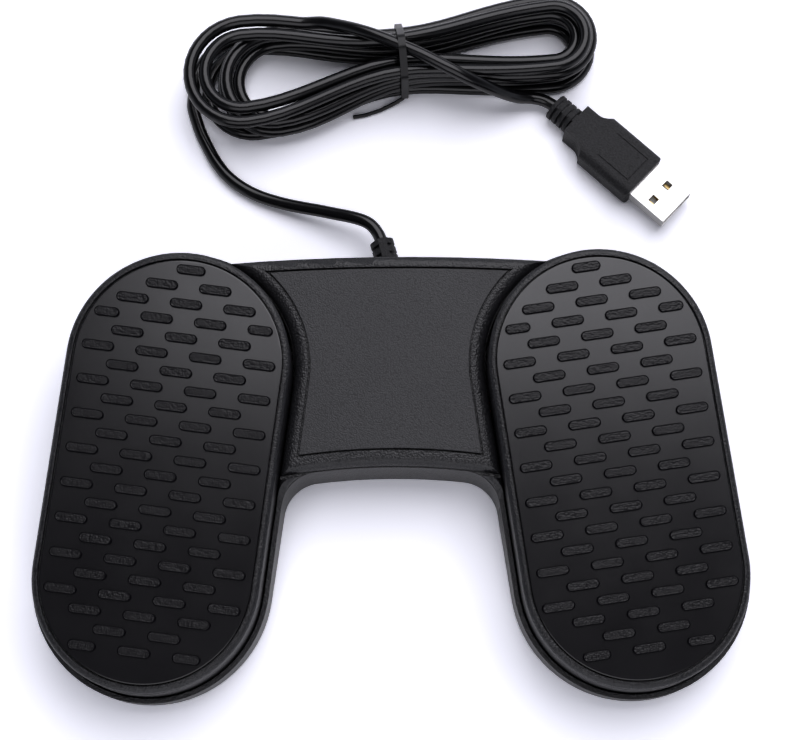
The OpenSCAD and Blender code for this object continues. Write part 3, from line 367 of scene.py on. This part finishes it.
def ramp(tree, value, low, high, low_at=0.0, high_at=1.0):
    """A colour ramp between two colours."""
    node = tree.nodes.new("ShaderNodeValToRGB")
    node.color_ramp.elements[0].position = low_at
    node.color_ramp.elements[0].color = (*low, 1)
    node.color_ramp.elements[1].position = high_at
    node.color_ramp.elements[1].color = (*high, 1)
    tree.links.new(value, node.inputs["Fac"])
    return node.outputs["Color"]


def spread(tree, value, low, high, start=0.0, end=1.0):
    """A value between a start and an end, spread over the range from low to high."""
    node = tree.nodes.new("ShaderNodeMapRange")
    node.inputs["From Min"].default_value = start
    node.inputs["From Max"].default_value = end
    node.inputs["To Min"].default_value = low
    node.inputs["To Max"].default_value = high
    tree.links.new(value, node.inputs["Value"])
    return node.outputs["Result"]


def combined(tree, operation, first, second):
    """Two values put together by an operation."""
    node = tree.nodes.new("ShaderNodeMath")
    node.operation = operation
    tree.links.new(first, node.inputs[0])
    tree.links.new(second, node.inputs[1])
    return node.outputs["Value"]


def mixed(tree, share, first, second, data_type="FLOAT"):
    """Two values or colours, fixed or from nodes, mixed by the share that the second one has."""
    node = tree.nodes.new("ShaderNodeMix")
    node.data_type = data_type
    tree.links.new(share, node.inputs["Factor"])
    for key, value in (("A", first), ("B", second)):
        if isinstance(value, bpy.types.NodeSocket):
            tree.links.new(value, node.inputs[key])
        else:
            node.inputs[key].default_value = value
    return node.outputs["Result"]


def bump(tree, bsdf, height, depth, strength, chained=None):
    """A bump of a depth in metres on the shader's normal."""
    node = tree.nodes.new("ShaderNodeBump")
    node.inputs["Strength"].default_value = strength
    node.inputs["Distance"].default_value = depth
    tree.links.new(height, node.inputs["Height"])
    if chained:
        tree.links.new(chained, node.inputs["Normal"])
    tree.links.new(node.outputs["Normal"], bsdf.inputs["Normal"])
    return node.outputs["Normal"]


def grained(name, dark, pale, roughness, cell, depth, strength, shine=0.5):
    """Moulded plastic with a leather-like grain of a cell size in metres."""
    material, tree, bsdf, coords = shader(name, dark, roughness, shine=shine)
    warp = texture(tree, "ShaderNodeTexNoise", coords, WARP_SCALE / cell, Detail=2.0)
    bend = tree.nodes.new("ShaderNodeVectorMath")
    bend.operation = "MULTIPLY_ADD"
    bend.inputs[1].default_value = (WARP_REACH * cell,) * 3
    tree.links.new(warp.outputs["Color"], bend.inputs[0])
    tree.links.new(coords, bend.inputs[2])
    grain = cells(tree, bend.outputs["Vector"], cell, "SMOOTH_F1")
    fine = noise(tree, coords, FINE_SCALE / cell, Detail=3.0)
    broad = noise(tree, coords, GRAINED_PATCHES, Detail=2.0)
    color = ramp(tree, grain, pale, dark, low_at=0.05, high_at=0.7)
    tree.links.new(color, bsdf.inputs["Base Color"])
    rough = spread(tree, broad, roughness - GRAINED_WANDER, roughness + GRAINED_WANDER)
    tree.links.new(rough, bsdf.inputs["Roughness"])
    normal = bump(tree, bsdf, grain, -depth, strength)
    bump(tree, bsdf, fine, FINE_DEPTH * depth, FINE_STRENGTH * strength, normal)
    return material


def speckled(name, dark, pale, roughness, grain, depth, strength, shine=0.5):
    """Plain moulded plastic or rubber with a fine matt grain."""
    material, tree, bsdf, coords = shader(name, dark, roughness, shine=shine)
    fine = noise(tree, coords, 1 / grain, Detail=4.0, Roughness=0.6)
    broad = noise(tree, coords, SPECKLED_PATCHES, Detail=2.0)
    color = ramp(tree, fine, dark, pale, low_at=0.3, high_at=0.7)
    tree.links.new(color, bsdf.inputs["Base Color"])
    rough = spread(tree, broad, roughness - SPECKLED_WANDER, roughness + SPECKLED_WANDER)
    tree.links.new(rough, bsdf.inputs["Roughness"])
    bump(tree, bsdf, fine, depth, strength)
    return material


def pad_rubber(name, side):
    """Satin rubber with grained grip bars, told apart by their height over the pad of a side."""
    material, tree, bsdf, coords = shader(name, PAD_COLOR, BAR_ROUGHNESS)
    normal = Vector((
        side * math.sin(SPLAY) * math.sin(TILT),
        -math.cos(SPLAY) * math.sin(TILT),
        math.cos(TILT),
    ))
    top = normal.dot(Vector((side * POD[0], POD[1], POD[2])) * MM)
    height = tree.nodes.new("ShaderNodeVectorMath")
    height.operation = "DOT_PRODUCT"
    height.inputs[1].default_value = normal
    tree.links.new(coords, height.inputs[0])
    rise, bar = [
        spread(tree, height.outputs["Value"], 0.0, 1.0, top + low * MM, top + high * MM)
        for low, high in (BAR_FOOT, BAR_TOP)
    ]
    # The bars' sides, between their foot and grained top, get almost no shine: painted shade that outlines
    # each bar
    painted_shade_sides = combined(tree, "SUBTRACT", rise, bar)
    shine = mixed(tree, bar, spread(tree, painted_shade_sides, PAD_SHINE, PAINTED_SHADE_SIDE_SHINE), BAR_SHINE)
    tree.links.new(shine, bsdf.inputs["Specular IOR Level"])
    grain = cells(tree, coords, BAR_GRAIN, "F1")
    fine = noise(tree, coords, 1 / PAD_GRAIN, Detail=3.0)
    broad = noise(tree, coords, PAD_PATCHES, Detail=3.0)
    bar_color = ramp(tree, grain, BAR_COLOR, PAD_COLOR, low_at=0.1, high_at=0.75)
    tree.links.new(mixed(tree, bar, (*PAD_COLOR, 1), bar_color, "RGBA"), bsdf.inputs["Base Color"])
    rough = mixed(tree, bar, spread(tree, broad, *PAD_ROUGHNESS), BAR_ROUGHNESS)
    tree.links.new(rough, bsdf.inputs["Roughness"])
    soft = bump(tree, bsdf, fine, PAD_GRAIN_DEPTH, PAD_GRAIN_STRENGTH)
    relief = combined(tree, "MULTIPLY", grain, bar)
    bump(tree, bsdf, relief, -BAR_GRAIN_DEPTH, BAR_GRAIN_STRENGTH, soft)
    return material


def metal(name, color, roughness, grain):
    """Plated or drawn metal with faint spots."""
    material, tree, bsdf, coords = shader(name, color, roughness, metallic=1.0)
    fine = noise(tree, coords, 1 / grain, Detail=5.0)
    rough = spread(tree, fine, roughness + SPOT_WANDER[0], roughness + SPOT_WANDER[1])
    tree.links.new(rough, bsdf.inputs["Roughness"])
    dull = [SPOT_TONE * c for c in color]
    tree.links.new(ramp(tree, fine, dull, color, low_at=0.3, high_at=0.7), bsdf.inputs["Base Color"])
    bump(tree, bsdf, fine, SPOT_DEPTH, SPOT_STRENGTH)
    return material


def mesh_group(name):
    """A new geometry node tree with its input and output."""
    group = bpy.data.node_groups.new(name, "GeometryNodeTree")
    group.interface.new_socket("Geometry", in_out="INPUT", socket_type="NodeSocketGeometry")
    group.interface.new_socket("Geometry", in_out="OUTPUT", socket_type="NodeSocketGeometry")
    return group, group.nodes.new("NodeGroupInput"), group.nodes.new("NodeGroupOutput")


def compared_angle(group, kind, operation, limit):
    """Whether the angle at an edge, signed or unsigned, is over or under a limit."""
    angle = group.nodes.new("GeometryNodeInputMeshEdgeAngle")
    node = group.nodes.new("FunctionNodeCompare")
    node.operation = operation
    node.inputs["B"].default_value = limit
    group.links.new(angle.outputs[kind], node.inputs["A"])
    return node.outputs["Result"]


def outer_edge_group():
    """Geometry nodes that mark the outer edges over an angle, and not the inner ones, for a bevel."""
    group, inside, outside = mesh_group("outer_edges")
    outer = compared_angle(group, "Signed Angle", "GREATER_THAN", SHARP_ANGLE)
    mark = group.nodes.new("GeometryNodeStoreNamedAttribute")
    mark.domain = "EDGE"
    mark.inputs["Name"].default_value = "bevel_weight_edge"
    group.links.new(inside.outputs[0], mark.inputs["Geometry"])
    group.links.new(outer, mark.inputs["Value"])
    group.links.new(mark.outputs["Geometry"], outside.inputs[0])
    return group


def auto_smooth_group():
    """Geometry nodes that shade faces smooth and keep edges over an angle sharp."""
    group, inside, outside = mesh_group("smooth_by_angle")
    faces = group.nodes.new("GeometryNodeSetShadeSmooth")
    edges = group.nodes.new("GeometryNodeSetShadeSmooth")
    edges.domain = "EDGE"
    flat = compared_angle(group, "Unsigned Angle", "LESS_THAN", SMOOTH_ANGLE)
    group.links.new(inside.outputs[0], faces.inputs["Geometry"])
    group.links.new(faces.outputs["Geometry"], edges.inputs["Geometry"])
    group.links.new(flat, edges.inputs["Shade Smooth"])
    group.links.new(edges.outputs["Geometry"], outside.inputs[0])
    return group


def dress(obj, material, round_edge=0.0, outer_only=False):
    """Material, rounded edges and smooth shading on a CAD node or a copy of one.

    With outer_only, inner edges stay sharp and roundings may meet.
    """
    obj.data.materials.clear()
    obj.data.materials.append(material)
    weld = obj.modifiers.new("weld", "WELD")
    weld.merge_threshold = WELD_GAP
    if round_edge:
        flats = obj.modifiers.new("flats", "DECIMATE")
        flats.decimate_type = "DISSOLVE"
        flats.angle_limit = FLAT_ANGLE
        if outer_only:
            outer = obj.modifiers.new("outer", "NODES")
            outer.node_group = OUTER_EDGES
        soft = obj.modifiers.new("edges", "BEVEL")
        soft.width = round_edge
        soft.segments = ROUND_STEPS
        soft.limit_method = "WEIGHT" if outer_only else "ANGLE"
        soft.angle_limit = SHARP_ANGLE
        soft.use_clamp_overlap = not outer_only
    shade = obj.modifiers.new("shade", "NODES")
    shade.node_group = SMOOTH
    if round_edge:
        even = obj.modifiers.new("normals", "WEIGHTED_NORMAL")
        even.keep_sharp = True
        even.weight = FACE_WEIGHT


def add_spring(side):
    """Return spring in place of its CAD coil, as a dressed copy of its mesh."""
    name = f"{side}_return_spring"
    spring = bpy.data.objects.new(f"{side}_spring", nodes[name].data.copy())
    scene.collection.objects.link(spring)
    dress(spring, MATERIALS["steel"])
    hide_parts(name)
    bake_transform(spring)


def floor_paper():
    """Pale matt floor, lighter to the camera, that is white where it is seen further away."""
    material = bpy.data.materials.new("floor")
    material.use_nodes = True
    tree = material.node_tree
    tree.nodes.clear()
    path = tree.nodes.new("ShaderNodeLightPath")
    camera = path.outputs["Is Camera Ray"]
    seen = camera
    for kind in ("Is Glossy Ray", "Is Transmission Ray"):
        seen = combined(tree, "MAXIMUM", seen, path.outputs[kind])
    paper = tree.nodes.new("ShaderNodeBsdfDiffuse")
    tree.links.new(mixed(tree, camera, FLOOR_COLOR, FLOOR_SEEN, "RGBA"), paper.inputs["Color"])
    coords = tree.nodes.new("ShaderNodeTexCoord")
    away = tree.nodes.new("ShaderNodeVectorMath")
    away.operation = "LENGTH"
    tree.links.new(coords.outputs["Object"], away.inputs[0])
    far = spread(tree, away.outputs["Value"], 0.0, 1.0, *FLOOR_FADE)
    white = tree.nodes.new("ShaderNodeEmission")
    fade = tree.nodes.new("ShaderNodeMixShader")
    tree.links.new(combined(tree, "MULTIPLY", far, seen), fade.inputs["Fac"])
    tree.links.new(paper.outputs["BSDF"], fade.inputs[1])
    tree.links.new(white.outputs["Emission"], fade.inputs[2])
    output = tree.nodes.new("ShaderNodeOutputMaterial")
    tree.links.new(fade.outputs["Shader"], output.inputs["Surface"])
    return material


def add_floor():
    """Floor that takes the object's shadow."""
    mesh = bpy.data.meshes.new("floor")
    corners = [(x * FLOOR_HALF, y * FLOOR_HALF, 0) for x, y in ((-1, -1), (1, -1), (1, 1), (-1, 1))]
    mesh.from_pydata(corners, [], [(0, 1, 2, 3)])
    mesh.materials.append(floor_paper())
    floor = bpy.data.objects.new("floor", mesh)
    scene.collection.objects.link(floor)


def add_surround():
    """Surround that is dim overhead and bright low down, and white to the camera."""
    world = bpy.data.worlds.new("studio")
    world.use_nodes = True
    tree = world.node_tree
    coords = tree.nodes.new("ShaderNodeTexCoord")
    split = tree.nodes.new("ShaderNodeSeparateXYZ")
    tree.links.new(coords.outputs["Generated"], split.inputs["Vector"])
    path = tree.nodes.new("ShaderNodeLightPath")
    sky = ramp(tree, split.outputs["Z"], SKY_LOW, SKY_HIGH, *SKY_CHANGE)
    color = mixed(tree, path.outputs["Is Camera Ray"], sky, SKY_SEEN, "RGBA")
    tree.links.new(color, tree.nodes["Background"].inputs["Color"])
    scene.world = world


def add_lamps():
    """A softbox over the rear and a fill in front, each turned about X towards the X axis."""
    for name, place, size, power in LAMPS:
        data = bpy.data.lights.new(name, "AREA")
        data.shape = "SQUARE"
        data.size = size
        data.energy = power
        data.color = LAMP_TINT
        lamp = bpy.data.objects.new(name, data)
        lamp.location = place
        lamp.rotation_euler = (-math.atan2(place[1], place[2]), 0, 0)
        scene.collection.objects.link(lamp)


add_camera()
SMOOTH = auto_smooth_group()
OUTER_EDGES = outer_edge_group()

# Materials
MATERIALS = {
    "housing": grained(
        "housing_grain", dark=(0.006, 0.006, 0.007), pale=(0.02, 0.02, 0.022), roughness=0.36,
        cell=0.45 * MM, depth=0.2 * MM, strength=0.8, shine=0.4,
    ),
    "pedal": grained(
        "pedal_grain", dark=(0.005, 0.005, 0.006), pale=(0.016, 0.016, 0.018), roughness=0.36,
        cell=0.45 * MM, depth=0.2 * MM, strength=0.8, shine=0.4,
    ),
    "panel": grained(
        "panel_grain", dark=(0.009, 0.009, 0.01), pale=(0.032, 0.032, 0.035), roughness=0.52,
        cell=0.36 * MM, depth=0.11 * MM, strength=0.8,
    ),
    "plate": speckled(
        "plate_plastic", dark=(0.012, 0.012, 0.013), pale=(0.02, 0.02, 0.022), roughness=0.6,
        grain=0.6 * MM, depth=0.05 * MM, strength=0.4,
    ),
    "rubber": speckled(
        "foot_rubber", dark=(0.008, 0.008, 0.008), pale=(0.015, 0.015, 0.015), roughness=0.8,
        grain=0.5 * MM, depth=0.05 * MM, strength=0.5,
    ),
    "cord": speckled(
        "cord_jacket", dark=(0.0015, 0.0015, 0.002), pale=(0.003, 0.003, 0.0035), roughness=0.2,
        grain=1.2 * MM, depth=0.03 * MM, strength=0.2, shine=0.4,
    ),
    "tie": speckled(
        "tie_plastic", dark=(0.0015, 0.0015, 0.002), pale=(0.004, 0.004, 0.0045), roughness=0.34,
        grain=1.0 * MM, depth=0.03 * MM, strength=0.3, shine=0.28,
    ),
    "grip": speckled(
        "grip_plastic", dark=(0.002, 0.002, 0.0025), pale=(0.024, 0.024, 0.026), roughness=0.46,
        grain=0.5 * MM, depth=0.3 * MM, strength=0.9, shine=0.26,
    ),
    "switch": speckled(
        "switch_plastic", dark=(0.02, 0.02, 0.022), pale=(0.035, 0.035, 0.038), roughness=0.5,
        grain=0.7 * MM, depth=0.04 * MM, strength=0.4,
    ),
    "button": speckled(
        "button_plastic", dark=(0.35, 0.02, 0.02), pale=(0.45, 0.04, 0.04), roughness=0.45,
        grain=0.6 * MM, depth=0.03 * MM, strength=0.3,
    ),
    "board": speckled(
        "board_mask", dark=(0.01, 0.09, 0.035), pale=(0.02, 0.14, 0.06), roughness=0.4,
        grain=1.5 * MM, depth=0.03 * MM, strength=0.3,
    ),
    "white": speckled(
        "white_nylon", dark=(0.66, 0.65, 0.61), pale=(0.76, 0.75, 0.71), roughness=0.5,
        grain=0.8 * MM, depth=0.03 * MM, strength=0.3,
    ),
    "lead": speckled(
        "lead_jacket", dark=(0.25, 0.015, 0.015), pale=(0.34, 0.03, 0.03), roughness=0.4,
        grain=0.8 * MM, depth=0.03 * MM, strength=0.3,
    ),
    "steel": metal("plated_steel", (0.6, 0.6, 0.62), roughness=0.32, grain=0.6 * MM),
    "shell": metal("plug_metal", (0.7, 0.69, 0.68), roughness=0.22, grain=0.5 * MM),
    "brass": metal("contact_brass", (0.72, 0.52, 0.22), roughness=0.3, grain=0.5 * MM),
}

# CAD nodes: material and edge rounding in millimetres
DRESS = {
    "base_housing": ("housing", 0.25), "bridge_panel": ("panel", 0.25), "bottom_plate": ("plate", 0.2),
    "bottom_screws": ("steel", 0), "rubber_feet": ("rubber", 0),
    "switch_terminals": ("brass", 0), "switch_screws": ("steel", 0),
    "circuit_board": ("board", 0), "controller_chip": ("switch", 0), "board_connectors": ("white", 0.1),
    "board_screws": ("steel", 0), "cable_clamp": ("plate", 0.2), "clamp_screws": ("steel", 0),
    "inner_cable": ("cord", 0), "cable_strain_relief": ("grip", 0.4), "cable_tie": ("tie", 0.39),
    "plug_grip": ("grip", 0.3), "plug_shell": ("shell", 0.1),
    "plug_insulator": ("white", 0.1), "plug_contacts": ("brass", 0),
}

# The same for the CAD nodes that each side has
DRESS_SIDE = {
    "pedal": ("pedal", 0.2), "hinge_pin": ("steel", 0.2), "bumpers": ("rubber", 0.3),
    "switch_body": ("switch", 0.2), "switch_button": ("button", 0.15), "switch_leads": ("lead", 0),
}
for side_name in SIDES:
    DRESS.update({f"{side_name}_{node_name}": look for node_name, look in DRESS_SIDE.items()})
for node_name, (material_name, edge) in DRESS.items():
    dress(nodes[node_name], MATERIALS[material_name], edge * MM)

# Pads and return springs
for side_name, side_sign in SIDES.items():
    rubber = pad_rubber(f"{side_name}_pad_rubber", side_sign)
    dress(nodes[f"{side_name}_pad"], rubber, BAR_EDGE, outer_only=True)
    add_spring(side_name)

# Cord
route = cord_route()
cord = tube_curve("cord", route, CORD_R * MM, MATERIALS["cord"])
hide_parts("cable_lead", "cable_hank", "cable_tail")
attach(cord, "base")

add_floor()
add_surround()
add_lamps()
scene.view_settings.view_transform = "Standard"
